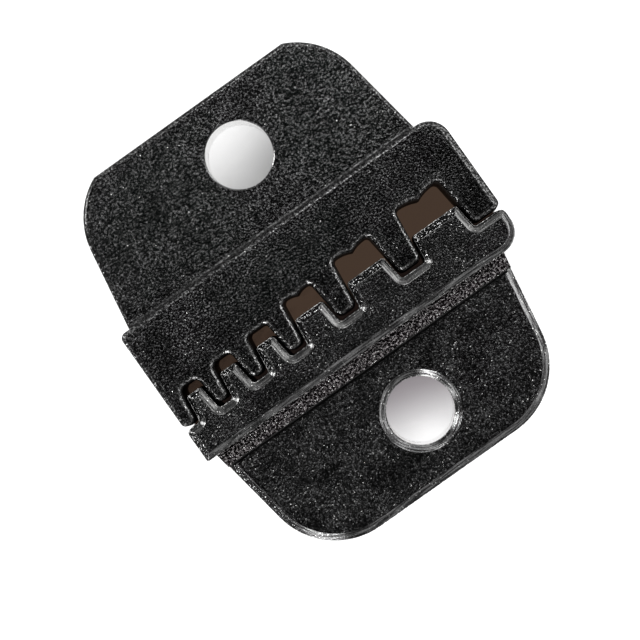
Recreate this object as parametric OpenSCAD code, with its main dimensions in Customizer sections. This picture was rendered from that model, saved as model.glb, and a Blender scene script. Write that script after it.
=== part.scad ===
// Crimp die insert: the matched pair of jaw dies of a hand-held ratchet crimping tool.
// X runs along the band from the smallest nest to the largest, Y from the anvil half to the crimper half,
// and Z is the thickness. Both halves lie on their bands, closed as they meet in the tool.
// The origin is the middle of the closed pair, on the surface that it lies on.

/* [Band] */
// Thickness of the bands, which stand proud of the tabs on both faces
band_t = 6; // [5:0.1:9]
// Height of the crimper's band, from its feet to the edge that carries the tab
crimper_band_h = 8.2; // [6:0.1:12]
// Height of the anvil half's band, from its shoulders to the edge that carries the tab
anvil_band_h = 2.7; // [2.2:0.1:6]
// Radius of the band's large corner, beside the largest nest
large_corner_r = 1.7; // [0.5:0.1:2]
// Radius of the crimper band's corner beside the smallest nest
crimper_corner_r = 0.5; // [0.1:0.05:0.6]
// Radius of the anvil band's corner beside the smallest nest
anvil_corner_r = 0.15; // [0.1:0.05:0.6]
// Radius of the outer corners of the feet and the shoulders
foot_corner_r = 0.4; // [0.1:0.05:0.5]

/* [Tab] */
// Thickness of the tabs, which slide into the slots of the jaws
tab_t = 4; // [3:0.1:4.4]
// Width of a tab where it leaves its band
tab_w = 25.5; // [20:0.1:26.5]
// Height of a full tab beyond its band
tab_h = 11.1; // [10:0.1:16]
// Lean of the tab's sides, in degrees
tab_lean = 9.4; // [0:0.2:15]
// Radius of the tab's corners
tab_corner_r = 5.7; // [3:0.1:7]
// Sideways offset of the tabs from the middle of the bands
tab_offset = -0.5; // [-0.7:0.1:0.7]
// Height trimmed off the end of the crimper's tab
crimper_trim = 0.5; // [0:0.05:1.5]

/* [Mounting bores] */
// Diameter of the bores for the fastening screws
bore_d = 5; // [3:0.1:6.5]
// Sideways offset of the bores from the middle of the bands
bore_offset = 0.7; // [-2:0.1:2]
// Distance from the crimper's band to the middle of its bore
crimper_bore_y = 5.75; // [5:0.05:7]
// Distance from the anvil half's band to the middle of its bore
anvil_bore_y = 5.9; // [5:0.05:7]
// Width of the countersink's ring round a bore, on the ground face
countersink = 0.55; // [0.2:0.05:1]
// Edge break of a bore on the cast face
bore_edge = 0.1; // [0.05:0.05:0.3]

/* [Edges and faces] */
// Width of the chamfer round a cast face, and round both faces of the crimper's band
cast_edge = 0.28; // [0.15:0.01:0.35]
// Width of the chamfer round a ground face
ground_edge = 0.55; // [0.3:0.05:0.65]
// Depth of a chamfer or countersink, as a share of its width
bevel_fall = 0.65; // [0.5:0.05:1]
// Radius of the root where a cast tab face meets its band
cast_root_r = 0.3; // [0.1:0.05:0.6]
// Width of the unground strip that the grinding wheel leaves beside the band
strip_w = 1.2; // [0.6:0.1:2]
// Height of the unground strip above the ground tab face
strip_rise = 0.3; // [0.1:0.05:0.4]
// Width and depth of the relief groove along the foot of the strip
groove = 0.15; // [0.1:0.01:0.25]

/* [Nests, from small to large] */
// Width of nest 1 across the top of its anvil
nest_1_w = 1.7; // [1.4:0.05:2.2]
// Width of nest 2 across the top of its anvil
nest_2_w = 1.8; // [1.4:0.05:2.4]
// Width of nest 3 across the top of its anvil
nest_3_w = 1.95; // [1.4:0.05:2.6]
// Width of nest 4 across the top of its anvil
nest_4_w = 2.85; // [2.2:0.05:3.4]
// Width of nest 5 across the top of its anvil
nest_5_w = 3.65; // [2.8:0.05:4.2]
// Width of nest 6 across the top of its anvil
nest_6_w = 4.3; // [3.2:0.05:4.8]
// Height of the crimp that closed nest 1 leaves above its anvil
crimp_1_h = 0.75; // [0.65:0.05:1.1]
// Height of the crimp that closed nest 2 leaves above its anvil
crimp_2_h = 0.9; // [0.65:0.05:1.3]
// Height of the crimp that closed nest 3 leaves above its anvil
crimp_3_h = 1.05; // [0.65:0.05:1.4]
// Height of the crimp that closed nest 4 leaves above its anvil
crimp_4_h = 1.6; // [1.2:0.05:2]
// Height of the crimp that closed nest 5 leaves above its anvil
crimp_5_h = 1.95; // [1.4:0.05:2.4]
// Height of the crimp that closed nest 6 leaves above its anvil
crimp_6_h = 2.3; // [1.6:0.05:2.8]
// Drop of the cusp that curls a terminal's wings, as a share of the roof's width, nests 4 to 6
cusp_share = 0.09; // [0.04:0.01:0.14]
// Corner radius of the roofs of nests 1 and 2
round_roof_r = 0.55; // [0.3:0.05:0.6]
// Corner radius of the roofs of nests 3 to 6
flat_roof_r = 0.4; // [0.2:0.05:0.55]
// Lean of the nests' and anvils' walls, in degrees
wall_draft = 6.5; // [3:0.5:8]

/* [Feet, fingers and anvils] */
// Width of the foot beside nest 1
small_foot_w = 1.25; // [1:0.05:2]
// Width of the finger between nests 1 and 2
finger_1_w = 1.25; // [1.1:0.05:2]
// Width of the finger between nests 2 and 3
finger_2_w = 1.4; // [1.2:0.05:2.2]
// Width of the finger between nests 3 and 4
finger_3_w = 1.5; // [1.2:0.05:2.4]
// Width of the finger between nests 4 and 5
finger_4_w = 1.8; // [1.4:0.05:2.8]
// Width of the finger between nests 5 and 6
finger_5_w = 2.15; // [1.6:0.05:3.2]
// Width of the foot beside nest 6
large_foot_w = 2.45; // [2.3:0.05:4]
// How much shorter the fingers are than the feet
finger_relief = 0.12; // [0.05:0.01:0.3]
// Corner radius of the finger tips
finger_tip_r = 0.45; // [0.2:0.05:0.5]
// Height of the anvils above their shoulders
anvil_h = 2.05; // [1.6:0.05:2.4]
// Corner radius of the tops of the anvils
anvil_top_r = 0.25; // [0.1:0.05:0.3]
// Radius at the roots of the anvils
anvil_root_r = 0.3; // [0.1:0.05:0.35]

/* [Fits] */
// Gap between the feet and the shoulders when the dies are closed
closed_gap = 0.25; // [0.2:0.01:0.4]
// Side clearance between a nest and its anvil, at the middle of the thickness
side_fit = 0.06; // [0.04:0.01:0.12]
// How much a nest's wall opens from the middle of the thickness to a face
nest_flare = 0.1; // [0.04:0.01:0.14]
// How much an anvil's wall falls back from the middle of the thickness to a face
anvil_flare = 0.06; // [0.02:0.01:0.1]

/* [Hidden] */
steel = [0.12, 0.12, 0.13];

nest_w = [nest_1_w, nest_2_w, nest_3_w, nest_4_w, nest_5_w, nest_6_w];
crimp_h = [crimp_1_h, crimp_2_h, crimp_3_h, crimp_4_h, crimp_5_h, crimp_6_h];
roof_r = [round_roof_r, round_roof_r, flat_roof_r, flat_roof_r, flat_roof_r, flat_roof_r];
cusped = [false, false, false, true, true, true];
finger_w = [small_foot_w, finger_1_w, finger_2_w, finger_3_w, finger_4_w, finger_5_w, large_foot_w];
last = len(nest_w) - 1;

band_w = total(nest_w, last) + total(finger_w, last + 1);
tab_z = (band_t - tab_t) / 2;
crimper_length = crimper_band_h + tab_h - crimper_trim;
anvil_length = closed_gap + anvil_band_h + tab_h;
feet_y = (anvil_length - crimper_length) / 2;
// Level of the closed anvils' tops above the feet
anvil_level = anvil_h - closed_gap;

// Depths of the three bevels
cast_fall = bevel_fall * cast_edge;
ground_fall = bevel_fall * ground_edge;
sink_fall = bevel_fall * countersink;

sharp = 0.05;
root = 0.8;
overrun = 1;
corner_steps = 5;
hump_steps = 5;
end_steps = 8;
tab_steps = 14;

// Sum of the list's entries up to and with entry n
function total(list, n) = n < 0 ? 0 : list[n] + total(list, n - 1);

// Middle of nest i along the band
function nest_x(i) = total(finger_w, i) + total(nest_w, i) - nest_w[i] / 2 - band_w / 2;

function turned(v, a) = [v.x * cos(a) - v.y * sin(a), v.x * sin(a) + v.y * cos(a)];

// The arc of radius r that rounds the corner at b between a and c, or b itself where r is 0
function rounded(a, b, c, r) =
    r == 0 ? [b] :
    let(u = (b - a) / norm(b - a))
    let(v = (c - b) / norm(c - b))
    let(turn = atan2(u.x * v.y - u.y * v.x, u * v))
    let(start = b - u * r * tan(abs(turn) / 2))
    let(centre = start + sign(turn) * r * [-u.y, u.x])
    [for (k = [0:corner_steps]) centre + turned(start - centre, turn * k / corner_steps)];

// An open path through corners [x, y, radius], without its first and last corner
function rounded_path(corners) =
    let(p = [for (c = corners) [c.x, c.y]])
    [for (i = [1:len(p) - 2]) each rounded(p[i - 1], p[i], p[i + 1], corners[i][2])];

// Half the width of nest i at height y over the feet, its wall set back by inset
function nest_half(i, y, inset) =
    nest_w[i] / 2 + (anvil_level - y) * tan(wall_draft) + inset / cos(wall_draft);

// Height of the tip at one side of nest i: side -1 is its left finger or foot, side 1 its right one
function tip_y(i, side) = (side < 0 ? i > 0 : i < last) ? finger_relief : 0;

// Room for rounding the tip beside nest i: half a finger's width, or a foot's width up to its rounded end
function tip_room(i, side, inset) =
    let(j = i + side)
    let(mine = nest_half(i, finger_relief, inset))
    let(end_r = max(foot_corner_r, side < 0 ? crimper_corner_r : large_corner_r))
    j < 0 || j > last ? finger_w[side < 0 ? 0 : last + 1] + nest_w[i] / 2 - mine - max(end_r, inset + sharp) :
    (abs(nest_x(j) - nest_x(i)) - mine - nest_half(j, finger_relief, inset)) / 2;

function tip_radius(i, side, inset) = max(sharp, min(finger_tip_r - inset, 0.9 * tip_room(i, side, inset)));

// Half of the cusp between the two humps of a roof: the arc that is level at the hump, [-reach, top],
// and has dropped by drop in the middle, set back by inset
function hump(top, reach, drop, inset) =
    let(r = (reach * reach + drop * drop) / (2 * drop))
    let(sweep = asin(reach / (r + inset)))
    [for (k = [0:hump_steps]) [-reach, top - r] + (r + inset) * turned([0, 1], -sweep * k / hump_steps)];

// Corners of nest i from its left tip to its right one, over the feet
function nest_corners(i, inset) =
    let(top = anvil_level + crimp_h[i])
    let(half = nest_half(i, top, 0))
    let(drop = 2 * half * cusp_share)
    let(left = hump(top, half - roof_r[i], drop, inset))
    let(right = [for (k = [hump_steps - 1:-1:0]) [-left[k].x, left[k].y]])
    let(wall = nest_half(i, top + inset, inset))
    let(tips = [for (s = [-1, 1]) [s * nest_half(i, tip_y(i, s) + inset, inset), tip_y(i, s) + inset]])
    let(points = [
        [tips[0].x, tips[0].y, tip_radius(i, -1, inset)],
        [-wall, top + inset, roof_r[i] + inset],
        if (cusped[i]) each [for (p = concat(left, right)) [p.x, p.y, 0]],
        [wall, top + inset, roof_r[i] + inset],
        [tips[1].x, tips[1].y, tip_radius(i, 1, inset)]
    ])
    [for (p = points) [p.x + nest_x(i), p.y, p[2]]];

// The toothed edge of the crimper, from its left foot to its right one
function crimper_edge(inset) = rounded_path([
    [-band_w / 2, inset, 0],
    for (i = [0:last]) each nest_corners(i, inset),
    [band_w / 2, inset, 0]
]);

// Half the width of anvil i at its top. Its wall falls back by inset, but never past the middle of the anvil
function anvil_half(i, inset) =
    let(full = nest_w[i] / 2 - side_fit - nest_flare - anvil_flare)
    max(sharp, full + inset * tan(wall_draft) - inset / cos(wall_draft));

// Corners of anvil i, which points towards -Y from its shoulders at 0
function anvil_corners(i, inset) =
    let(top = anvil_half(i, inset))
    let(foot = top + anvil_h * tan(wall_draft))
    [for (p = [
        [-foot, inset, anvil_root_r + inset],
        [-top, inset - anvil_h, max(sharp / 2, min(anvil_top_r - inset, 0.9 * top))],
        [top, inset - anvil_h, max(sharp / 2, min(anvil_top_r - inset, 0.9 * top))],
        [foot, inset, anvil_root_r + inset]
    ]) [p.x + nest_x(i), p.y, p[2]]];

// The toothed edge of the anvil half, from its left shoulder to its right one
function anvil_edge(inset) = rounded_path([
    [-band_w / 2, inset, 0],
    for (i = [0:last]) each anvil_corners(i, inset),
    [band_w / 2, inset, 0]
]);

// How far a corner of radius r has left its straight edge, at distance d from the end of the band
function corner_rise(d, r) = d < r ? r - sqrt(r * r - (r - d) * (r - d)) : 0;

// Columns [x, toothed edge, back edge] through the two corners at one end of a band, from the end inwards
function end_columns(side, h, inset, tooth_inset, tooth_r, back_r) =
    let(a = max(sharp, tooth_r - inset))
    let(b = max(sharp, back_r - inset))
    [for (k = [0:end_steps])
        let(d = max(a, b) * (1 - cos(90 * k / end_steps)))
        [side * (band_w / 2 - inset - d), tooth_inset + corner_rise(d, a), h - inset - corner_rise(d, b)]];

// All columns of a band at one level of its thickness. small_r and large_r are its back corners
function columns(edge, h, inset, tooth_inset, small_r, large_r) =
    let(right = end_columns(1, h, inset, tooth_inset, foot_corner_r, large_r))
    concat(
        end_columns(-1, h, inset, tooth_inset, foot_corner_r, small_r),
        [for (p = edge) [p.x, p.y, h - inset]],
        [for (k = [end_steps:-1:0]) right[k]]
    );

function two_triangles(a, b, c, d) = [[a, b, c], [a, c, d]];

// A solid through levels of columns, levels[l][k] = [x, toothed edge, back edge] at height z[l]
module column_loft(levels, z) {
    n = len(levels[0]);
    top = len(z) - 1;
    function corner(l, k, back) = 2 * (l * n + k) + back;
    points = [for (l = [0:top]) for (c = levels[l]) each [[c[0], c[1], z[l]], [c[0], c[2], z[l]]]];
    bottom_face = [for (k = [0:n - 2]) each
        two_triangles(corner(0, k, 0), corner(0, k + 1, 0), corner(0, k + 1, 1), corner(0, k, 1))];
    top_face = [for (k = [0:n - 2]) each
        two_triangles(corner(top, k, 0), corner(top, k, 1), corner(top, k + 1, 1), corner(top, k + 1, 0))];
    tooth_walls = [for (l = [0:top - 1]) for (k = [0:n - 2]) each
        two_triangles(corner(l, k, 0), corner(l + 1, k, 0), corner(l + 1, k + 1, 0), corner(l, k + 1, 0))];
    back_walls = [for (l = [0:top - 1]) for (k = [0:n - 2]) each
        two_triangles(corner(l, k, 1), corner(l, k + 1, 1), corner(l + 1, k + 1, 1), corner(l + 1, k, 1))];
    ends = [for (l = [0:top - 1]) each concat(
        two_triangles(corner(l, 0, 1), corner(l + 1, 0, 1), corner(l + 1, 0, 0), corner(l, 0, 0)),
        two_triangles(corner(l, n - 1, 0), corner(l + 1, n - 1, 0), corner(l + 1, n - 1, 1), corner(l, n - 1, 1))
    )];
    polyhedron(points, concat(bottom_face, top_face, tooth_walls, back_walls, ends), convexity = 20);
}

// The crimper's band, with the same small chamfer round both faces
module crimper_band() {
    z = [0, cast_fall, band_t / 2, band_t - cast_fall, band_t];
    outer = [cast_edge, 0, 0, 0, cast_edge];
    tooth = [cast_edge, 0, -nest_flare, 0, cast_edge];
    column_loft([for (l = [0:len(z) - 1])
        columns(crimper_edge(tooth[l]), crimper_band_h, outer[l], tooth[l], crimper_corner_r, large_corner_r)], z);
}

// The anvil half's band, ground face at 0
module anvil_band() {
    z = [0, ground_fall, band_t / 2, band_t - cast_fall, band_t];
    outer = [ground_edge, 0, 0, 0, cast_edge];
    tooth = [ground_edge, 0, -anvil_flare, 0, cast_edge];
    column_loft([for (l = [0:len(z) - 1])
        columns(anvil_edge(tooth[l]), anvil_band_h, outer[l], tooth[l], anvil_corner_r, large_corner_r)], z);
}

// Half the width of a tab at height y over its band
function tab_half(y, inset) = tab_w / 2 - y * tan(tab_lean) - inset / cos(tab_lean);

// Outline of a tab over its band, with trim cut off its end, set back by inset
function tab_outline(trim, inset) =
    let(r = tab_corner_r - inset)
    let(cy = tab_h - tab_corner_r)
    let(cx = tab_half(cy, 0) - tab_corner_r / cos(tab_lean))
    let(last_angle = asin(min(1, (tab_h - trim - inset - cy) / r)))
    let(arc = [for (k = [0:tab_steps])
        let(a = tab_lean + (last_angle - tab_lean) * k / tab_steps)
        [cx + r * cos(a), cy + r * sin(a)]])
    [for (p = concat(
        [[tab_half(-root, inset), -root]],
        arc,
        [for (k = [tab_steps:-1:0]) [-arc[k].x, arc[k].y]],
        [[-tab_half(-root, inset), -root]]
    )) [p.x + tab_offset, p.y]];

// A solid through equal rings of points, rings[l] at height z[l]. Each ring is convex
module ring_loft(rings, z) {
    n = len(rings[0]);
    top = len(z) - 1;
    points = [for (l = [0:top]) for (p = rings[l]) [p.x, p.y, z[l]]];
    walls = [for (l = [0:top - 1]) for (k = [0:n - 1]) each
        two_triangles(l * n + k, (l + 1) * n + k, (l + 1) * n + (k + 1) % n, l * n + (k + 1) % n)];
    polyhedron(points, concat(
        [[for (k = [0:n - 1]) k]],
        walls,
        [[for (k = [n - 1:-1:0]) top * n + k]]
    ), convexity = 4);
}

// A slice of the tab's outline from height a to height b over the band, set back by inset at its sides
module tab_slice(a, b, inset) {
    polygon([for (p = [[-1, a], [1, a], [1, b], [-1, b]]) [tab_offset + p.x * tab_half(p.y, inset), p.y]]);
}

// The hollow fillet along the root of a tab's cast face, which lies at height top
module cast_root(top) {
    r = max(sharp, min(cast_root_r, band_t - cast_fall - top));
    arc = [for (k = [0:corner_steps]) [r, top + r] - r * turned([1, 0], 90 * k / corner_steps)];
    intersection() {
        rotate([90, 0, 90])
            linear_extrude(band_w, center = true)
                polygon(concat([[-sharp, top - sharp], [-sharp, top + r]], arc, [[r, top - sharp]]));
        linear_extrude(band_t)
            tab_slice(-root, r, cast_edge);
    }
}

// A tab with its chamfers, bore and countersink, ground face down, its band's edge at 0
module tab(trim, bore_y) {
    top = tab_z + tab_t;
    difference() {
        union() {
            ring_loft([for (c = [ground_edge, 0, 0, cast_edge]) tab_outline(trim, c)],
                [tab_z, tab_z + ground_fall, top - cast_fall, top]);
            translate([0, 0, tab_z - strip_rise])
                linear_extrude(strip_rise + ground_fall)
                    tab_slice(-root, strip_w, 0);
            cast_root(top);
        }
        translate([-band_w / 2, strip_w, tab_z - strip_rise])
            cube([band_w, groove, strip_rise + groove]);
        translate([bore_offset, bore_y, 0]) {
            cylinder(h = band_t, d = bore_d, $fn = 96);
            translate([0, 0, tab_z - sink_fall])
                cylinder(h = 2 * sink_fall, d1 = bore_d + 4 * countersink, d2 = bore_d, $fn = 96);
            translate([0, 0, top - bore_edge])
                cylinder(h = bore_edge + overrun, d1 = bore_d, d2 = bore_d + 2 * (bore_edge + overrun), $fn = 96);
        }
    }
}

// The half with the nests. Its ground face is the one it lies on
module crimper_die() {
    color(steel)
        translate([0, feet_y, 0])
            union() {
                crimper_band();
                translate([0, crimper_band_h, 0])
                    tab(crimper_trim, crimper_bore_y);
            }
}

// The half with the anvils, turned over about X, so its ground face is on top
module anvil_die() {
    color(steel)
        translate([0, feet_y - closed_gap, band_t])
            rotate([180, 0, 0])
                union() {
                    anvil_band();
                    translate([0, anvil_band_h, 0])
                        tab(0, anvil_bore_y);
                }
}

crimper_die();
anvil_die();
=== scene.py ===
"""Crimp die insert, dressed for its photograph.

Two dies of blackened tool steel lie closed on a pale floor. The crimper has six nests along one edge, and the
anvil half has the six anvils that fit them. Both come from one blank: a thick band with the teeth, and a
thinner tab with a bore. The anvil half lies with its ground face up, the crimper with its cast face up.
"""
import math

import bmesh
import bpy
import numpy as np
from mathutils import Matrix, Vector


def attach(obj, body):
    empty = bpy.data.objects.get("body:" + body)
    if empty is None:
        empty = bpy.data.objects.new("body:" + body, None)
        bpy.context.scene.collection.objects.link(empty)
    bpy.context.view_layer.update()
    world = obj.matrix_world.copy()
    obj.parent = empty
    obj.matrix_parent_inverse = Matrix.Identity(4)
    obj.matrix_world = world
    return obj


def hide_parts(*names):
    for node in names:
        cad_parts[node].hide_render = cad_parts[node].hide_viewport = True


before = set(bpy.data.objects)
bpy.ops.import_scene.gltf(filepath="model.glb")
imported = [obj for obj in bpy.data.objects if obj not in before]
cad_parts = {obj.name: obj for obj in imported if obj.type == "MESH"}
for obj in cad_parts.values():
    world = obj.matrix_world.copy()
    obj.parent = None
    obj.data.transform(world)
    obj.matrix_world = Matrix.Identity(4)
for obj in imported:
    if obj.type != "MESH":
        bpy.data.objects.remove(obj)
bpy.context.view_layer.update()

MM = 0.001

# The dies' driving dimensions in millimetres, the same as the CAD model's
BAND_T = 6.0
CRIMPER_BAND_H = 8.2
ANVIL_BAND_H = 2.7
LARGE_CORNER_R = 1.7
CRIMPER_CORNER_R = 0.5
ANVIL_CORNER_R = 0.15
FOOT_CORNER_R = 0.4

TAB_T = 4.0
TAB_W = 25.5
TAB_H = 11.1
TAB_LEAN = math.radians(9.4)
TAB_CORNER_R = 5.7
TAB_OFFSET = -0.5
CRIMPER_TRIM = 0.5

BORE_R = 2.5
BORE_OFFSET = 0.7
CRIMPER_BORE_Y = 5.75
ANVIL_BORE_Y = 5.9
COUNTERSINK = 0.55
BORE_EDGE = 0.1

CAST_EDGE = 0.28
GROUND_EDGE = 0.55
BEVEL_FALL = 0.65
CAST_ROOT_R = 0.3
STRIP_W = 1.2
STRIP_RISE = 0.3
GROOVE = 0.15

NEST_W = np.array([1.7, 1.8, 1.95, 2.85, 3.65, 4.3])
CRIMP_H = np.array([0.75, 0.9, 1.05, 1.6, 1.95, 2.3])
ROOF_R = np.array([0.55, 0.55, 0.4, 0.4, 0.4, 0.4])
CUSPED = np.array([False, False, False, True, True, True])
FINGER_W = np.array([1.25, 1.25, 1.4, 1.5, 1.8, 2.15, 2.45])
CUSP_SHARE = 0.09
CUSP_R = 0.1
WALL_DRAFT = math.radians(6.5)
FINGER_RELIEF = 0.12
FINGER_TIP_R = 0.45
ANVIL_H = 2.05
ANVIL_TOP_R = 0.25
ANVIL_ROOT_R = 0.3
CLOSED_GAP = 0.25
SIDE_FIT = 0.06
NEST_FLARE = 0.1
ANVIL_FLARE = 0.06

# Sizes that follow from them
LAST = len(NEST_W) - 1
BAND_W = NEST_W.sum() + FINGER_W.sum()
NEST_X = np.cumsum(FINGER_W[:-1]) + np.cumsum(NEST_W) - NEST_W / 2 - BAND_W / 2
TAB_Z = (BAND_T - TAB_T) / 2
CRIMPER_LENGTH = CRIMPER_BAND_H + TAB_H - CRIMPER_TRIM
ANVIL_LENGTH = CLOSED_GAP + ANVIL_BAND_H + TAB_H
FEET_Y = (ANVIL_LENGTH - CRIMPER_LENGTH) / 2
ANVIL_LEVEL = ANVIL_H - CLOSED_GAP
BORE_AWAY = (CRIMPER_BAND_H + CRIMPER_BORE_Y + CLOSED_GAP + ANVIL_BAND_H + ANVIL_BORE_Y) / 2

# The radii of sharp and worn edges, how far a worn end falls back, the share of the room beside it that a
# rounding may fill, and how deep the tab and the strip reach into the band
SHARP = 0.03
EDGE_R = 0.09
CAST_EDGE_R = 0.28
END_WEAR = 0.17
ROOM_SHARE = 0.9
ROOT = 0.8

# The skin of the unground strip: its depth, and the waves that it is made of
STRIP_SINK = 0.07
LONGEST_WAVE = 1.2
SHORTEST_WAVE = 0.2
WAVES = 90

# How finely the surfaces are drawn
CORNER_STEPS = 8
EDGE_STEPS = 3
END_STEPS = 12
TAB_STEPS = 32
STRIP_STEPS = 320
STRIP_POINTS = 26
WELD = 1e-8
SMOOTH_ANGLE = math.radians(32)

# How far a profile goes in for each millimetre that it falls, at the most, on a wall and on a worn rim. A
# step that falls less than LEAST_FALL counts as that.
WALL_SLOPE = 0.1
RIM_SLOPE = 1.3
LEAST_FALL = 1e-6

# The finishes that one blank shows, by the number of their material
TAB_SKIN, BAND_SKIN, GROUND, BEVEL, TOOTH_BEVEL, SINK, RIM, TOOTH_RIM = range(8)
CAST_BEVEL, HOLLOW, NEST_EDGE, CUT, REAMED, SCALE = range(8, 14)

# Painted shade with painted glints on chamfers, chosen by their facing: its dark and its pale tone. It fades
# in with the share of a chamfer's normal that points to -X, or to +Y at the anvils' tops, which lie between
# the heights given in the last two lines.
SIDE_SHADE_AND_GLINTS = ((0.004, 0.004, 0.004), (0.6, 0.6, 0.6))
SHADE_FACING_LEFT = (0.47, 0.535)
SHADE_FACING_UP = (0.45, 0.53)
SHADED_TOPS_FROM = (-1.4, -1.25)
SHADED_TOPS_TO = (0, 1)

# The width of the clouds in the tone, how far apart the specks are, which are partly worn steel and partly
# painted glints, their radius and colour, the width of the wheel's fine grooves, with the stretch that draws
# them out along X and Y, and the oxide's gloss
CLOUD = 2.5
SPECK_APART = 0.13
SPECK_R = 0.06
SPECK_WEAR_AND_GLINT = (0.5, 0.5, 0.49)
LINE = 0.07
LINE_STRETCH = (0.04, 0.04, 1)
GLOSS = 0.25

# The floor: its width, the distance within which the dies close it in and its colour gets painted shade, with
# the samples that this takes, the distances from the middle between which the painted pool of light fades,
# the share that fades, and the floor's glow
FLOOR_W = 1000
CLOSED_IN = 4
SKY_SAMPLES = 32
POOL = (36, 90)
POOL_FADE = 0.75
GLOW = 0.9

# The camera: its roll, its height over the dies, its lens, the point of their top face that lies under it,
# and the one at which it looks
CAMERA_ROLL = math.radians(35.35)
CAMERA_HEIGHT = 138
LENS = 107.6
CAMERA_FOOT = (2.0, -3.1)
CAMERA_AIM = (-1.42, -1.635)

# The lamps, with lengths in metres: name, azimuth, elevation, distance, width, height and radiance. A ring of
# them stands at the height to which the chamfers look, and the last one brings out the grain of the faces.
RING = 0.22
LAMPS = (
    ("east_box", 0, 27, RING, 0.20, 0.08, 5.2),
    ("northeast_box", 47, 22, RING, 0.16, 0.09, 2),
    ("north_box", 90, 22, RING, 0.16, 0.08, 0.85),
    ("northwest_strip", 135, 22, RING, 0.05, 0.09, 20),
    ("west_box", 184, 22, RING, 0.09, 0.09, 5),
    ("southwest_strip", 226, 22, RING, 0.075, 0.09, 13),
    ("south_box", 270, 22, RING, 0.16, 0.08, 1.2),
    ("southeast_box", 313, 22, RING, 0.16, 0.09, 2.5),
    ("grain_box", 74, 48, 0.3, 0.12, 0.12, 9),
)
SKY = 0.04


def dot(a, b):
    """Dot products along the last axis."""
    return (a * b).sum(-1)


def unit(v):
    """Vectors made 1 long."""
    return v / np.linalg.norm(v, axis=-1, keepdims=True)


def rounded(corners, radii, steps):
    """The paths through corners, with an arc in place of each corner but the first and the last.

    An arc of radius r touches both sides of its corner. It starts r tan(turn / 2) before the corner, its
    centre lies r away on the side to which the path turns, and its points are the start, swung about the
    centre by equal shares of the turn. corners is (levels, n, 2), and radii is (levels, n).
    """
    u = unit(corners[:, 1:-1] - corners[:, :-2])
    v = unit(corners[:, 2:] - corners[:, 1:-1])
    left = np.stack([-u[..., 1], u[..., 0]], -1)
    turn = np.arctan2(dot(left, v), dot(u, v))
    r = radii[:, 1:-1]
    start = corners[:, 1:-1] - u * (r * np.tan(np.abs(turn) / 2))[..., None]
    arm = -left * (np.sign(turn) * r)[..., None]
    centre = start - arm
    swing = turn[..., None] * np.linspace(0, 1, steps + 1)
    cos, sin = np.cos(swing), np.sin(swing)
    arc = np.stack([
        arm[..., None, 0] * cos - arm[..., None, 1] * sin,
        arm[..., None, 0] * sin + arm[..., None, 1] * cos,
    ], -1) + centre[..., None, :]
    return arc.reshape(len(corners), -1, 2)


def path(corners, steps):
    """Rounds a list of corners (x, y, radius), each a number or one value for each level."""
    level = np.broadcast_arrays(*[np.atleast_1d(np.asarray(v, float)) for c in corners for v in c])
    table = np.stack(level, -1).reshape(len(level[0]), len(corners), 3)
    return rounded(table[..., :2], table[..., 2], steps)


def thickness_profile(ground, thickness, flare):
    """How far the outline is set back at each height z of the thickness, from the cast to the ground face.

    The profile runs out along the cast face's chamfer, down the wall, which stands out by flare at mid
    thickness, and in along the ground face's chamfer, which is as wide as ground. Each edge is an arc of
    the worn edge's radius.
    """
    points = path([
        (CAST_EDGE + CAST_EDGE_R, thickness, 0),
        (CAST_EDGE, thickness, CAST_EDGE_R),
        (0, thickness - BEVEL_FALL * CAST_EDGE, CAST_EDGE_R),
        (-flare, thickness / 2, 0),
        (0, BEVEL_FALL * ground, EDGE_R),
        (ground, 0, EDGE_R),
        (ground + EDGE_R, 0, 0),
    ], EDGE_STEPS)[0]
    return points[:, 0], points[:, 1]


def edge_finishes(inset, z, middle, wall, cast, bevel):
    """The number of the finish for each step of a profile through the thickness.

    A step is judged by how far it goes in for each millimetre that it falls. Those that hardly go in are
    the wall. The others are the cast face's edge above the middle. Below it they are the ground face's
    chamfer, or the rim where they are steeper than that, whose pale tone is partly wear and partly a
    painted highlight.
    """
    slope = np.abs(np.diff(inset)) / np.maximum(np.abs(np.diff(z)), LEAST_FALL)
    return np.select([slope < WALL_SLOPE, z[:-1] > middle, slope < RIM_SLOPE], [wall, cast, RIM], bevel)


def nest_half(i, y, inset):
    """Half the width of nest i at height y over the feet, with its walls set back by inset."""
    return NEST_W[i] / 2 + (ANVIL_LEVEL - y) * math.tan(WALL_DRAFT) + inset / math.cos(WALL_DRAFT)


def tip_radius(i, side, inset):
    """Radius of the finger tip or foot at one side of nest i, limited by the room that its width leaves."""
    j = i + side
    mine = nest_half(i, FINGER_RELIEF, inset)
    if 0 <= j <= LAST:
        room = (abs(NEST_X[j] - NEST_X[i]) - mine - nest_half(j, FINGER_RELIEF, inset)) / 2
    else:
        back_r = CRIMPER_CORNER_R if side < 0 else LARGE_CORNER_R
        end_r = np.maximum(max(FOOT_CORNER_R, back_r), inset + SHARP)
        room = FINGER_W[0 if side < 0 else LAST + 1] + NEST_W[i] / 2 - mine - end_r
    return np.maximum(SHARP, np.minimum(FINGER_TIP_R - inset, ROOM_SHARE * room))


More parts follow.
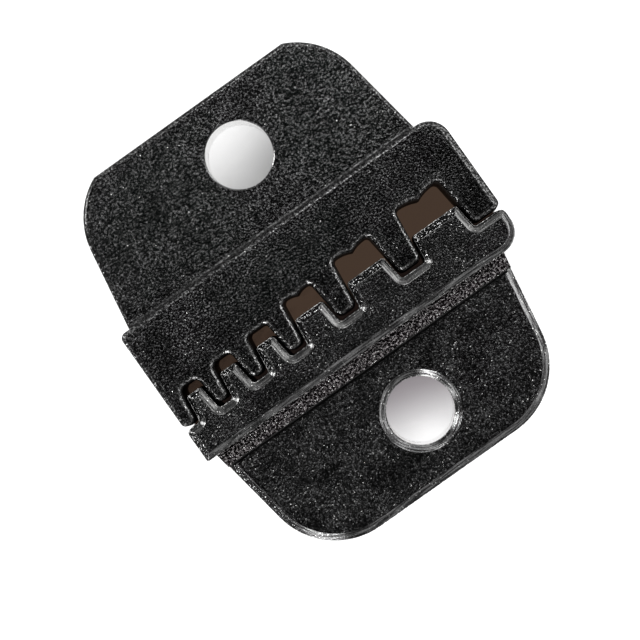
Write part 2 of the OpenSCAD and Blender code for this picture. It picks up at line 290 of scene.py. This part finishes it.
def nest_corners(i, inset):
    """Corners of nest i from its left tip to its right one, as (x, y, radius).

    The walls lean by the draft. A cusped roof is two arcs, level at their outer ends, which sink towards
    the middle and meet there in a small fillet that touches both. Each arc is given as the corner at which
    its end tangents cross.
    """
    top = ANVIL_LEVEL + CRIMP_H[i]
    half = nest_half(i, top, 0)
    wall = nest_half(i, top + inset, inset)
    corners = [(-wall, top + inset, ROOF_R[i] + inset)]
    if CUSPED[i]:
        reach = half - ROOF_R[i]
        drop = 2 * half * CUSP_SHARE
        r = (reach ** 2 + drop ** 2) / (2 * drop)
        cusp_r = np.maximum(CUSP_R - inset, SHARP)
        apart = r + inset + cusp_r
        sweep = np.arcsin(reach / apart)
        cusp_y = top - r + apart * np.cos(sweep) - cusp_r / np.cos(sweep)
        corners += [(-reach + (r + inset) * np.tan(sweep / 2), top + inset, r + inset), (0, cusp_y, cusp_r)]
        corners += [(-x, y, radius) for x, y, radius in corners[-2::-1]]
    else:
        corners += [(wall, top + inset, ROOF_R[i] + inset)]
    tips = []
    for side in (-1, 1):
        relief = FINGER_RELIEF if 0 <= i + side <= LAST else 0
        tips.append((side * nest_half(i, relief + inset, inset), relief + inset, tip_radius(i, side, inset)))
    return [(x + NEST_X[i], y, radius) for x, y, radius in [tips[0], *corners, tips[1]]]


def anvil_corners(i, inset):
    """Corners of anvil i, which points towards -Y from its shoulders at 0, as (x, y, radius)."""
    full = NEST_W[i] / 2 - SIDE_FIT - NEST_FLARE - ANVIL_FLARE
    top = np.maximum(SHARP, full + inset * math.tan(WALL_DRAFT) - inset / math.cos(WALL_DRAFT))
    foot = top + ANVIL_H * math.tan(WALL_DRAFT)
    top_r = np.maximum(SHARP / 2, np.minimum(ANVIL_TOP_R - inset, ROOM_SHARE * top))
    root_r = ANVIL_ROOT_R + inset
    tip = inset - ANVIL_H
    corners = (-foot, inset, root_r), (-top, tip, top_r), (top, tip, top_r), (foot, inset, root_r)
    return [(x + NEST_X[i], y, radius) for x, y, radius in corners]


def toothed_edge(tooth_corners, inset):
    """The band's toothed edge from its left end to its right one, set back by inset at each level."""
    corners = [(-BAND_W / 2, inset, 0)]
    for i in range(LAST + 1):
        corners += tooth_corners(i, inset)
    return path([*corners, (BAND_W / 2, inset, 0)], CORNER_STEPS)


def corner_rise(d, r):
    """How far a corner of radius r has left its straight edge, at distance d from the end of the band."""
    return r - np.sqrt(r ** 2 - np.maximum(r - d, 0) ** 2)


def end_columns(end, height, inset, tooth_inset, back_r):
    """Columns (x, toothed edge, back edge) through the two rounded corners of a band that ends at x = end."""
    a = np.maximum(SHARP, FOOT_CORNER_R - inset)[:, None]
    b = np.maximum(SHARP, back_r - inset)[:, None]
    d = np.maximum(a, b) * (1 - np.cos(np.linspace(0, math.pi / 2, END_STEPS + 1)))
    x = end[:, None] - np.sign(end)[:, None] * d
    tooth = tooth_inset[:, None] + corner_rise(d, a)
    return np.stack([x, tooth, height - inset[:, None] - corner_rise(d, b)], -1)


def quads(a, b, c, d):
    """Faces from four arrays of point numbers, one for each corner."""
    return np.stack([a, b, c, d], -1).reshape(-1, 4)


def band(tooth_corners, height, ground, flare, small_r, wear):
    """A band: columns between its toothed edge and its back edge, at each level of its thickness.

    A ring of points runs along the toothed edge and home along the back edge. Neighbouring rings join into
    the walls and chamfers, and the columns of the first and last ring into the two faces. At the end beside
    the largest nest the chamfers are wider by wear, at the same slope: the end falls back by the height
    over the foot of the wider chamfer, divided by the slope, and by wear at the most.
    """
    tooth_inset, z = thickness_profile(ground, BAND_T, flare)
    inset = np.maximum(tooth_inset, 0)
    edge = toothed_edge(tooth_corners, tooth_inset)
    back = np.broadcast_to((height - inset)[:, None, None], (*edge.shape[:2], 1))
    worn = np.clip((np.abs(z - BAND_T / 2) - BAND_T / 2) / BEVEL_FALL + ground + wear, 0, wear)
    left = end_columns(inset - BAND_W / 2, height, inset, tooth_inset, small_r)
    right = end_columns(BAND_W / 2 - inset - worn, height, inset, tooth_inset, LARGE_CORNER_R)
    columns = np.concatenate([left, np.concatenate([edge, back], -1), right[:, ::-1]], 1)
    levels, n = columns.shape[:2]
    ring = np.concatenate([columns[..., :2], columns[:, ::-1, ::2]], 1)
    points = np.concatenate([ring, np.broadcast_to(z[:, None, None], (levels, 2 * n, 1))], -1)

    number = np.arange(levels * 2 * n).reshape(levels, 2 * n)
    after = np.roll(number, -1, 1)
    walls = quads(number[:-1], number[1:], after[1:], after[:-1])
    tooth, home = number[:, :n], number[:, :n - 1:-1]
    cast_face = quads(tooth[0, :-1], tooth[0, 1:], home[0, 1:], home[0, :-1])
    ground_face = quads(tooth[-1, :-1], home[-1, :-1], home[-1, 1:], tooth[-1, 1:])
    step = edge_finishes(tooth_inset, z, BAND_T / 2, CUT, CAST_BEVEL, BEVEL)[:, None]
    tooth_step = edge_finishes(tooth_inset, z, BAND_T / 2, CUT, NEST_EDGE, TOOTH_BEVEL)[:, None]
    tooth_step[tooth_step == RIM] = TOOTH_RIM
    finish = np.concatenate([
        np.where(np.arange(2 * n) < n - 1, tooth_step, step).ravel(),
        np.full(len(cast_face), BAND_SKIN),
        np.full(len(ground_face), GROUND),
    ])
    return points.reshape(-1, 3), np.concatenate([walls, cast_face, ground_face]), finish


def tab_half(y, inset):
    """Half the tab's width at height y over its band. Its sides lean in, and are set back by inset."""
    return TAB_W / 2 - y * math.tan(TAB_LEAN) - inset / math.cos(TAB_LEAN)


def tab_outline(trim, inset):
    """A tab's outline over its band, with trim cut off its end, set back by inset: an open loop of points.

    The sides lean in by the tab's lean, and each ends in an arc that would just touch the untrimmed end.
    """
    r = TAB_CORNER_R - inset
    cy = TAB_H - TAB_CORNER_R
    cx = tab_half(cy, TAB_CORNER_R)
    last = np.arcsin(np.minimum(1, (TAB_H - trim - inset - cy) / r))
    angle = TAB_LEAN + (last - TAB_LEAN)[:, None] * np.linspace(0, 1, TAB_STEPS + 1)
    arc = np.stack([cx + r[:, None] * np.cos(angle), cy + r[:, None] * np.sin(angle)], -1)
    root = np.stack([tab_half(-ROOT, inset), np.full(len(r), -ROOT)], -1)[:, None]
    share = np.linspace(0, 1, TAB_STEPS, endpoint=False)[:, None]
    half = np.concatenate([root + (arc[:, :1] - root) * share, arc], 1)
    mirrored = half[:, ::-1] * (-1, 1)
    end = arc[:, -1:] + (mirrored[:, :1] - arc[:, -1:]) * share[1:]
    foot = mirrored[:, -1:] + (root - mirrored[:, -1:]) * share[1:]
    return np.concatenate([half, end, mirrored, foot], 1) + (TAB_OFFSET, 0)


def tab(trim, bore_y):
    """A tab with its bore: a closed loop of rings, all crossed by the same spokes out from the bore.

    The rings go out over the ground face, up the outline's chamfers and wall, in over the cast face, and home
    down the bore with its lip and countersink. A ring of the outline is the outline set back by the profile's
    inset, and a ring of the bore is a circle.
    """
    inset, z = thickness_profile(GROUND_EDGE, TAB_T, 0)
    outline = tab_outline(trim, inset)
    centre = np.array([BORE_OFFSET, bore_y])
    spoke = unit(outline[-1] - centre)
    bore = path([
        (BORE_R + COUNTERSINK + EDGE_R, 0, 0),
        (BORE_R + COUNTERSINK, 0, EDGE_R),
        (BORE_R, BEVEL_FALL * COUNTERSINK, EDGE_R),
        (BORE_R, TAB_T - BEVEL_FALL * BORE_EDGE, EDGE_R / 3),
        (BORE_R + BORE_EDGE, TAB_T, EDGE_R / 3),
        (BORE_R + BORE_EDGE + EDGE_R, TAB_T, 0),
    ], EDGE_STEPS)[0]
    circles = centre + bore[:, None, :1] * spoke
    rings = np.concatenate([outline[::-1], circles[::-1]])
    heights = np.concatenate([z[::-1], bore[::-1, 1]])
    levels, n = rings.shape[:2]
    points = np.concatenate([rings, np.broadcast_to(heights[:, None, None] + TAB_Z, (levels, n, 1))], -1)
    number = np.arange(levels * n).reshape(levels, n)
    after = np.roll(number, -1, 1)
    faces = quads(number, after, np.roll(after, -1, 0), np.roll(number, -1, 0))

    finish = np.concatenate([
        edge_finishes(inset, z, TAB_T / 2, CUT, CAST_BEVEL, BEVEL)[::-1],
        [TAB_SKIN],
        edge_finishes(*bore[::-1].T, TAB_T / 2, REAMED, SINK, SINK),
        [GROUND],
    ])
    flat = (np.roll(heights, -1) == heights)
    finish[flat] = np.where(heights > TAB_T / 2, TAB_SKIN, GROUND)[flat]
    return points.reshape(-1, 3), faces, np.repeat(finish, n)


def bar(profile, reach, steps):
    """A bar across the tab: each point (y, z) of a profile, carried from minus its reach to plus it in X."""
    n = len(profile)
    share = np.linspace(-1, 1, steps + 1)[:, None]
    x = TAB_OFFSET + share * np.broadcast_to(reach, n)
    points = np.concatenate([x[..., None], np.broadcast_to(profile, (steps + 1, n, 2))], -1)
    number = np.arange((steps + 1) * n).reshape(steps + 1, n)
    after = np.roll(number, -1, 1)
    walls = quads(number[:-1], number[1:], after[1:], after[:-1])
    return points, [*walls.tolist(), number[0].tolist(), number[-1, ::-1].tolist()]


def cast_root():
    """The hollow fillet between the tab's cast face and its band: a quarter circle carried across the tab."""
    top = TAB_Z + TAB_T
    angle = np.linspace(0, math.pi / 2, CORNER_STEPS + 1)
    arc = np.stack([CAST_ROOT_R * (1 - np.cos(angle)), top + CAST_ROOT_R * (1 - np.sin(angle))], -1)
    inside = [[CAST_ROOT_R, top - SHARP], [-SHARP, top - SHARP], [-SHARP, top + CAST_ROOT_R]]
    profile = np.concatenate([inside, arc])
    points, faces = bar(profile, tab_half(profile[:, 0], CAST_EDGE), 1)
    return points.reshape(-1, 3), faces, HOLLOW


def hills(x, y, seed):
    """A rough surface between 0 and 1: the sum of plane waves of random direction, length and phase.

    Each wave is as high as it is long. The sum is divided by three times its own deviation, halved, lifted
    by a half and clipped.
    """
    draw = np.random.default_rng(seed)
    length = SHORTEST_WAVE * (LONGEST_WAVE / SHORTEST_WAVE) ** draw.random(WAVES)
    heading = draw.random(WAVES) * 2 * math.pi
    phase = draw.random(WAVES) * 2 * math.pi
    k = 2 * math.pi / length
    height = np.cos(x[..., None] * k * np.cos(heading) + y[..., None] * k * np.sin(heading) + phase) @ length
    height = height / (3 * np.sqrt((length ** 2).sum() / 2))
    return np.clip(0.5 + height / 2, 0, 1)


def unground_strip(seed):
    """The ledge that the grinding leaves between the band and the groove, with its rough skin.

    A rectangle is carried across the tab. The points of its outward face sink in by the hills' height, and
    those of its outer edge draw back by it as well.
    """
    low = TAB_Z - STRIP_RISE
    across = np.linspace(-ROOT, STRIP_W, STRIP_POINTS)
    foot = TAB_Z + BEVEL_FALL * GROUND_EDGE
    profile = np.concatenate([
        np.stack([across, np.full(len(across), low)], -1),
        [[STRIP_W, TAB_Z], [STRIP_W, foot], [-ROOT, foot]],
    ])
    points, faces = bar(profile, tab_half(profile[:, 0], 0), STRIP_STEPS)
    # The outer wall and the last step of the top take the cut walls' near black: painted shade along the
    # groove.
    painted_shade_edge = np.arange(len(profile)) >= len(across) - 2
    finish = np.concatenate([np.tile(np.where(painted_shade_edge, CUT, SCALE), STRIP_STEPS), [SCALE, SCALE]])
    x, y, z = np.moveaxis(points, -1, 0)
    sink = STRIP_SINK * hills(x, y, seed)
    top = np.arange(len(profile)) < len(across)
    outer = np.isclose(profile[:, 0], STRIP_W) & top
    points = np.stack([x, y - np.where(outer, sink, 0), z + np.where(top, sink, 0)], -1)
    return points.reshape(-1, 3), faces, finish


def groove():
    """The cutter for the groove beside the strip: a rectangle carried across the whole band."""
    near, far = STRIP_W, STRIP_W + GROOVE
    low, high = TAB_Z - STRIP_RISE - ROOT, TAB_Z + GROOVE
    profile = np.array([[near, low], [far, low], [far, high], [near, high]])
    points, faces = bar(profile, BAND_W / 2, 1)
    # The groove's faces take the cut walls' near black, which there is painted shade.
    return points.reshape(-1, 3), faces, CUT


def solid(name, finishes, points, faces, finish, lift=0):
    """A closed mesh object from points in millimetres, lifted along Y.

    finish is the number of every face's finish, or one number for each face.
    """
    mesh = bpy.data.meshes.new(name)
    for material in finishes:
        mesh.materials.append(material)
    mesh.from_pydata(((points + (0, lift, 0)) * MM).tolist(), [], np.asarray(faces, object).tolist())
    mesh.polygons.foreach_set("material_index", np.broadcast_to(finish, len(mesh.polygons)).astype(np.int32))
    closed = bmesh.new()
    closed.from_mesh(mesh)
    bmesh.ops.remove_doubles(closed, verts=closed.verts, dist=WELD)
    bmesh.ops.recalc_face_normals(closed, faces=closed.faces)
    closed.to_mesh(mesh)
    closed.free()
    obj = bpy.data.objects.new(name, mesh)
    bpy.context.scene.collection.objects.link(obj)
    return obj


def combine(obj, other, operation):
    """Unites obj with the other solid, or cuts the other out of it. The other is then gone."""
    modifier = obj.modifiers.new(operation, "BOOLEAN")
    modifier.operation = operation
    modifier.solver = "MANIFOLD"
    modifier.object = other
    graph = bpy.context.evaluated_depsgraph_get()
    result = bpy.data.meshes.new_from_object(obj.evaluated_get(graph))
    obj.modifiers.clear()
    obj.data = result
    bpy.data.objects.remove(other)


def die(name, finishes, shape, band_h, trim, bore_y, place, seed):
    """One half: its band, its tab with the cast root and the strip, and the groove, put in place."""
    obj = solid(name, finishes, *shape)
    combine(obj, solid("tab", finishes, *tab(trim, bore_y), band_h), "UNION")
    combine(obj, solid("root", finishes, *cast_root(), band_h), "UNION")
    combine(obj, solid("strip", finishes, *unground_strip(seed), band_h), "UNION")
    combine(obj, solid("groove", finishes, *groove(), band_h), "DIFFERENCE")
    mesh = obj.data
    mesh.transform(place)
    mesh.polygons.foreach_set("use_smooth", np.ones(len(mesh.polygons), bool))
    mesh.set_sharp_from_angle(angle=SMOOTH_ANGLE)
    mesh.update()
    weighted = obj.modifiers.new("edges", "WEIGHTED_NORMAL")
    weighted.keep_sharp = True
    return obj


class Value:
    """A shader value that takes plain arithmetic: each operation adds its Math node."""

    def __init__(self, finish, socket):
        self.finish = finish
        self.socket = socket

    def math(self, operation, *operands):
        """What a Math node makes of the operands."""
        node = self.finish.node("ShaderNodeMath", {"operation": operation}, dict(enumerate(operands)))
        return Value(self.finish, node.outputs[0])

    def __add__(self, other):
        return self.math("ADD", self, other)

    def __sub__(self, other):
        return self.math("SUBTRACT", self, other)

    def __rsub__(self, other):
        return self.math("SUBTRACT", other, self)

    def __mul__(self, other):
        return self.math("MULTIPLY", self, other)

    __radd__ = __add__
    __rmul__ = __mul__

    def __abs__(self):
        return self.math("ABSOLUTE", self)

    def ramp(self, low, high):
        """0 below low, 1 above high, and a smooth step between them."""
        step = {"interpolation_type": "SMOOTHSTEP"}
        node = self.finish.node("ShaderNodeMapRange", step, {0: self, 1: low, 2: high, 3: 0, 4: 1})
        return Value(self.finish, node.outputs[0])


class Finish:
    """A material or the world, built from nodes."""

    def __init__(self, owner):
        self.owner = owner
        owner.use_nodes = True
        self.tree = owner.node_tree
        self.tree.nodes.clear()

    def node(self, kind, settings=None, inputs=None):
        """Adds a node: its settings first, then the values or links of its sockets, by name or number."""
        node = self.tree.nodes.new(kind)
        for name, setting in (settings or {}).items():
            setattr(node, name, setting)
        for name, value in (inputs or {}).items():
            if isinstance(value, Value):
                value = value.socket
            if isinstance(value, bpy.types.NodeSocket):
                self.tree.links.new(value, node.inputs[name])
            else:
                node.inputs[name].default_value = value
        return node

    def value(self, kind, settings=None, inputs=None, output=0):
        """Adds a node as node() does, and gives one of its outputs as a Value."""
        return Value(self, self.node(kind, settings, inputs).outputs[output])

    def millimetres(self, stretch=(1, 1, 1)):
        """The piece's own coordinates in millimetres, stretched along its axes."""
        place = self.node("ShaderNodeTexCoord").outputs["Object"]
        scale = tuple(s / MM for s in stretch)
        return self.node("ShaderNodeVectorMath", {"operation": "MULTIPLY"}, {0: place, 1: scale}).outputs[0]

    def painted_side_shade(self):
        """1 where a chamfer gets painted shade by its facing: on the sides that face -X, and on the anvils'
        tops.
        """
        x, y, _ = self.parts(self.node("ShaderNodeTexCoord").outputs["Normal"])
        height = self.parts(self.millimetres())[1]
        tops = y.ramp(*SHADE_FACING_UP) * height.ramp(*SHADED_TOPS_FROM) * (1 - height.ramp(*SHADED_TOPS_TO))
        return (0 - x).ramp(*SHADE_FACING_LEFT) + tops

    def parts(self, place):
        """The x, y and z of a place."""
        outputs = self.node("ShaderNodeSeparateXYZ", {}, {0: place}).outputs
        return [Value(self, output) for output in outputs]

    def noise(self, place, size, detail=1):
        """Cloudy noise around 0.5, with lumps about size millimetres across."""
        return self.value("ShaderNodeTexNoise", {}, {"Vector": place, "Scale": 1 / size, "Detail": detail})

    def specks(self, place, apart, radius, share):
        """Small round specks: one for each cell of the given width, of which a share is left."""
        cells = self.node("ShaderNodeTexVoronoi", {}, {"Vector": place, "Scale": 1 / apart})
        near = 1 - Value(self, cells.outputs["Distance"]).ramp(radius / apart * 0.4, radius / apart)
        pick = self.value("ShaderNodeSeparateColor", {}, {0: cells.outputs["Color"]})
        return near * pick.ramp(1 - share, 1 - share * 0.6)

    def mix(self, factor, a, b):
        """Colour a where factor is 0, and b where it is 1.

        A Mix node takes its colours in sockets 6 and 7, and gives theirs in output 2.
        """
        node = self.node("ShaderNodeMix", {"data_type": "RGBA"}, {"Factor": factor})
        for socket, colour in ((6, a), (7, b)):
            if isinstance(colour, bpy.types.NodeSocket):
                self.tree.links.new(colour, node.inputs[socket])
            else:
                node.inputs[socket].default_value = (*colour, 1)
        return node.outputs[2]

    def bump(self, height):
        """The normal of a surface that rises by height, in millimetres."""
        return self.node("ShaderNodeBump", {}, {"Height": height, "Strength": 1, "Distance": MM}).outputs[0]

    def surface(self, shader):
        """Makes shader the material's surface."""
        self.node("ShaderNodeOutputMaterial", {}, {0: shader})


def oxide(name, tone, metallic, roughness, grain, depth, worn, lines=0, side_lumps=0, fade=None):
    """Black oxide on steel: lumps of a grain and a depth, a fine tooth, clouds and bright specks.

    tone is a dark and a pale colour: lumps are pale on their tops and dark between, which is the grain's tone
    with painted sheen on the tops and painted shade in the hollows. worn is how much of the surface has
    specks, which are partly wear and partly painted glints. lines is the depth of fine grooves at equal
    heights, which run along a chamfer as the grinding wheel left them. The argument after lines is the depth
    of the spotted lumps on chamfers that get painted shade by their facing, whose pale spots are painted
    glints. fade gives an axis, the two places along it between which the pale share rises to full, and the
    share that it starts from: painted light and shade along a piece.
    """
    finish = Finish(bpy.data.materials.new(name))
    place = finish.millimetres()
    lumps = finish.noise(place, grain)
    tooth = finish.noise(place, grain * 0.45)
    cloud = finish.noise(place, CLOUD, detail=3)
    specks = finish.specks(place, SPECK_APART, SPECK_R, worn * 0.3)
    height = (lumps + tooth * 0.3) * (cloud.ramp(0.3, 0.7) * (depth * 0.3) + depth * 0.7)
    # Pale tops and dark hollows: the grain's tone, with painted sheen on the tops and painted shade in the
    # hollows.
    tops = lumps.ramp(0.42, 0.74)
    pale = tops
    if lines:
        along = finish.noise(finish.millimetres(LINE_STRETCH), LINE)
        height = height + along * lines
        pale = tops * 0.3 + along.ramp(0.4, 0.65) * 0.7
    pale = pale * (0.55 + cloud * 0.7)
    # fade paints light and shade: the pale share changes along one axis of the piece.
    if fade:
        axis, start, end, least = fade
        full = 1.05
        pale = pale * (least + finish.parts(place)[axis].ramp(start, end) * (full - least))
    colour = finish.mix(pale, *tone)
    # Chamfers that face -X, and the anvils' tops, get painted shade, with painted glints on its pale lumps.
    if side_lumps:
        painted_side_shade = finish.painted_side_shade()
        height = height + lumps * painted_side_shade * side_lumps
        colour = finish.mix(painted_side_shade, colour, finish.mix(lumps.ramp(0.58, 0.76), *SIDE_SHADE_AND_GLINTS))
    # Bright specks: partly worn steel, partly painted glints.
    colour = finish.mix(specks * cloud.ramp(0.2, 0.6), colour, SPECK_WEAR_AND_GLINT)
    rough = roughness + (cloud - 0.5) * 0.2 + (tooth - 0.5) * 0.1
    shader = finish.node("ShaderNodeBsdfPrincipled", {}, {
        "Base Color": colour, "Metallic": metallic, "Roughness": rough, "Normal": finish.bump(height),
        "Specular IOR Level": GLOSS})
    finish.surface(shader.outputs[0])
    return finish.owner


def die_finishes(half):
    """The finishes of one half, in the order of their numbers.

    After its name, a row gives the tone, how metallic and how rough the finish is, the width and the depth of
    its lumps, and how much of it has specks, which are partly wear and partly painted glints.
    """
    black = ((0.004, 0.004, 0.004), (0.105, 0.105, 0.106))
    dark_grey = ((0.005, 0.005, 0.005), (0.125, 0.125, 0.126))
    ground = ((0.008, 0.008, 0.008), (0.095, 0.095, 0.096))
    worn_black = ((0.012, 0.012, 0.012), (0.19, 0.19, 0.19))
    hollow = ((0.012, 0.012, 0.012), (0.13, 0.13, 0.13))
    nest_edge = ((0.02, 0.02, 0.02), (0.25, 0.25, 0.25))
    # The rims' pale tones are partly bare worn steel and partly painted highlight along the edges.
    highlit_tooth_rim = ((0.08, 0.08, 0.08), (0.9, 0.89, 0.87))
    bare = ((0.03, 0.03, 0.03), (0.14, 0.14, 0.138))
    rim = ((0.01, 0.01, 0.01), (0.7, 0.69, 0.68))
    # The cut walls' near black is their own dark tone, and painted shade where it lines the groove and the
    # strip's outer edge.
    wall_dark_and_shade = ((0.003, 0.003, 0.003), (0.016, 0.016, 0.016))
    rusty = ((0.002, 0.0015, 0.0015), (0.23, 0.215, 0.218))
    bright = ((0.74, 0.735, 0.73), (0.93, 0.925, 0.92))
    return [
        # The cast skin's pale share rises towards +X, painted light that falls off to the left, and the band
        # skin's rises away from the teeth, painted shade among the fingers.
        oxide(f"{half}_cast_skin", dark_grey, 0.95, 0.24, 0.15, 0.14, 0.04, fade=(0, -16, 14, 0.6)),
        oxide(f"{half}_band_skin", black, 0.95, 0.25, 0.14, 0.1, 0.06, fade=(1, -1, 3.5, 0.5)),
        oxide(f"{half}_ground_face", ground, 0.9, 0.26, 0.13, 0.09, 0.3),
        oxide(f"{half}_ground_chamfer", worn_black, 0.9, 0.22, 0.1, 0.012, 0.4, lines=0.022, side_lumps=0.09),
        oxide(f"{half}_tooth_chamfer", bare, 0.9, 0.22, 0.14, 0.016, 0.2, lines=0.015, side_lumps=0.06),
        oxide(f"{half}_countersink", worn_black, 0.9, 0.22, 0.1, 0.012, 0.4, lines=0.022),
        oxide(f"{half}_worn_highlit_rim", rim, 0.6, 0.4, 0.16, 0.03, 0.5),
        oxide(f"{half}_highlit_tooth_rim", highlit_tooth_rim, 0.2, 0.4, 0.16, 0.03, 0.5),
        oxide(f"{half}_cast_chamfer", worn_black, 0.8, 0.26, 0.16, 0.026, 0.1, side_lumps=0.09),
        oxide(f"{half}_cast_root", hollow, 0.75, 0.4, 0.16, 0.012, 0.05),
        oxide(f"{half}_nest_edge", nest_edge, 0.9, 0.26, 0.15, 0.035, 0.6, side_lumps=0.02),
        oxide(f"{half}_cut_wall", wall_dark_and_shade, 0, 0.5, 0.12, 0.03, 0, lines=0.02),
        oxide(f"{half}_reamed_bore", bright, 0.9, 0.15, 0.3, 0.004, 0),
        oxide(f"{half}_unground_strip", rusty, 0.95, 0.22, 0.17, 0.26, 0.6),
    ]


def crimper_die_body():
    """The crimper, with its cast face on top."""
    shape = band(nest_corners, CRIMPER_BAND_H, CAST_EDGE, NEST_FLARE, CRIMPER_CORNER_R, END_WEAR)
    place = Matrix.Translation((0, FEET_Y * MM, 0))
    finishes = die_finishes("crimper")
    return die("crimper_die_body", finishes, shape, CRIMPER_BAND_H, CRIMPER_TRIM, CRIMPER_BORE_Y, place, 1)


def anvil_die_body():
    """The anvil half, turned over about X, so its ground face is on top."""
    shape = band(anvil_corners, ANVIL_BAND_H, GROUND_EDGE, ANVIL_FLARE, ANVIL_CORNER_R, 0)
    lift = Matrix.Translation((0, (FEET_Y - CLOSED_GAP) * MM, BAND_T * MM))
    place = lift @ Matrix.Rotation(math.pi, 4, "X")
    return die("anvil_die_body", die_finishes("anvil"), shape, ANVIL_BAND_H, 0, ANVIL_BORE_Y, place, 2)


def paper_floor():
    """The pale floor, in a painted pool of light.

    Where the dies close it in, it has painted shade: dark, and brown under the nests. In the bores it has a
    painted grey shade that pales away from the jaw.
    """
    half = FLOOR_W / 2 * MM
    mesh = bpy.data.meshes.new("floor")
    corners = [(-half, -half, 0), (half, -half, 0), (half, half, 0), (-half, half, 0)]
    mesh.from_pydata(corners, [], [(0, 1, 2, 3)])
    obj = bpy.data.objects.new("floor", mesh)
    bpy.context.scene.collection.objects.link(obj)

    white, black = (1, 1, 1), (0, 0, 0)
    anvil_bore_shade, crimper_bore_shade = (0.29, 0.265, 0.281), (0.33, 0.33, 0.33)
    shadow, brown_shade = (0.006, 0.004, 0.004), (0.0655, 0.042, 0.0295)
    finish = Finish(bpy.data.materials.new("paper"))
    place = finish.millimetres()
    x, y, _ = finish.parts(place)
    beside = x - BORE_OFFSET
    away = abs(y)
    from_bore = abs(away - BORE_AWAY)
    sky = finish.value(
        "ShaderNodeAmbientOcclusion", {"samples": SKY_SAMPLES}, {"Distance": CLOSED_IN * MM}, output="AO")
    # In the bores the floor's colour is a painted grey shade, darker near the jaw.
    in_bore = (1 - abs(beside).ramp(3, 4)) * (1 - from_bore.ramp(3, 4)) * (1 - sky.ramp(0.6, 0.85))
    bore_shade_by_half = finish.mix(y.ramp(-1, 1), anvil_bore_shade, crimper_bore_shade)
    bore_shade = finish.mix((away - beside * 0.25).ramp(8.7, 15), bore_shade_by_half, white)
    pale = finish.mix(in_bore, white, bore_shade)
    # Where the dies close the floor in, its colour is painted shade: dark, and brown under the nests.
    under_nests = sky.ramp(0, 0.04) * (0.3 + y.ramp(-1.8, -0.8) * 0.7) * (1 - away.ramp(3, 5))
    closed = finish.mix(under_nests, shadow, brown_shade)
    edge = 0.35 - away.ramp(7, 8.5) * 0.25
    free = (sky - edge).ramp(0, 0.1)
    colour = finish.mix(free, closed, pale)
    # A painted pool of light: farther out, the floor's colour darkens.
    reach = finish.value("ShaderNodeVectorMath", {"operation": "LENGTH"}, {0: place}, output=1)
    painted_pool = finish.mix(reach.ramp(*POOL), colour, finish.mix(POOL_FADE, colour, black))

    rays = finish.node("ShaderNodeLightPath").outputs
    seen = Value(finish, rays["Is Camera Ray"]) + Value(finish, rays["Is Glossy Ray"])
    seen = seen + Value(finish, rays["Is Transmission Ray"])
    glow = finish.node("ShaderNodeEmission", {}, {"Color": painted_pool, "Strength": seen * GLOW})
    lit = finish.node("ShaderNodeBsdfDiffuse", {}, {"Color": finish.mix(free * 0.5, black, painted_pool)})
    both = finish.node("ShaderNodeAddShader", {}, {0: glow.outputs[0], 1: lit.outputs[0]})
    finish.surface(both.outputs[0])
    mesh.materials.append(finish.owner)


def softbox(name, azimuth, elevation, distance, width, height, radiance):
    """A rectangular lamp that faces the dies, radiance times as bright as white paper in full light."""
    light = bpy.data.lights.new(name, "AREA")
    light.shape = "RECTANGLE"
    light.size = width
    light.size_y = height
    light.energy = radiance * math.pi * width * height
    obj = bpy.data.objects.new(name, light)
    a, e = math.radians(azimuth), math.radians(elevation)
    away = Vector((math.cos(a) * math.cos(e), math.sin(a) * math.cos(e), math.sin(e)))
    obj.matrix_world = Matrix.Translation(away * distance) @ away.to_track_quat("Z", "Y").to_matrix().to_4x4()
    obj.visible_camera = False
    bpy.context.scene.collection.objects.link(obj)


def studio():
    """The softboxes and a dim, even sky."""
    for lamp in LAMPS:
        softbox(*lamp)
    world = Finish(bpy.data.worlds.new("studio"))
    sky = world.node("ShaderNodeBackground", {}, {"Color": (1, 1, 1, 1), "Strength": SKY})
    world.node("ShaderNodeOutputWorld", {}, {0: sky.outputs[0]})
    bpy.context.scene.world = world.owner


def camera():
    """The camera over the dies: it looks down on them, slightly from the lower right, and is rolled."""
    foot = Vector((*CAMERA_FOOT, BAND_T)) * MM
    aim = Vector((*CAMERA_AIM, BAND_T)) * MM
    eye = foot + Vector((0, 0, CAMERA_HEIGHT * MM))
    data = bpy.data.cameras.new("camera")
    data.sensor_width = 36
    data.lens = LENS
    data.clip_start = 0.01
    data.clip_end = 10
    back = (eye - aim).normalized()
    right = Vector((math.cos(CAMERA_ROLL), -math.sin(CAMERA_ROLL), 0))
    right = (right - back * right.dot(back)).normalized()
    up = back.cross(right)
    turn = Matrix((right, up, back)).transposed().to_4x4()
    obj = bpy.data.objects.new("camera", data)
    obj.matrix_world = Matrix.Translation(eye) @ turn
    bpy.context.scene.collection.objects.link(obj)
    bpy.context.scene.camera = obj


for build, half in ((crimper_die_body, "crimper"), (anvil_die_body, "anvil")):
    piece = build()
    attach(piece, f"{half}_half")
    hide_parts(f"{half}_die")

paper_floor()
studio()
camera()
bpy.context.scene.view_settings.view_transform = "Standard"
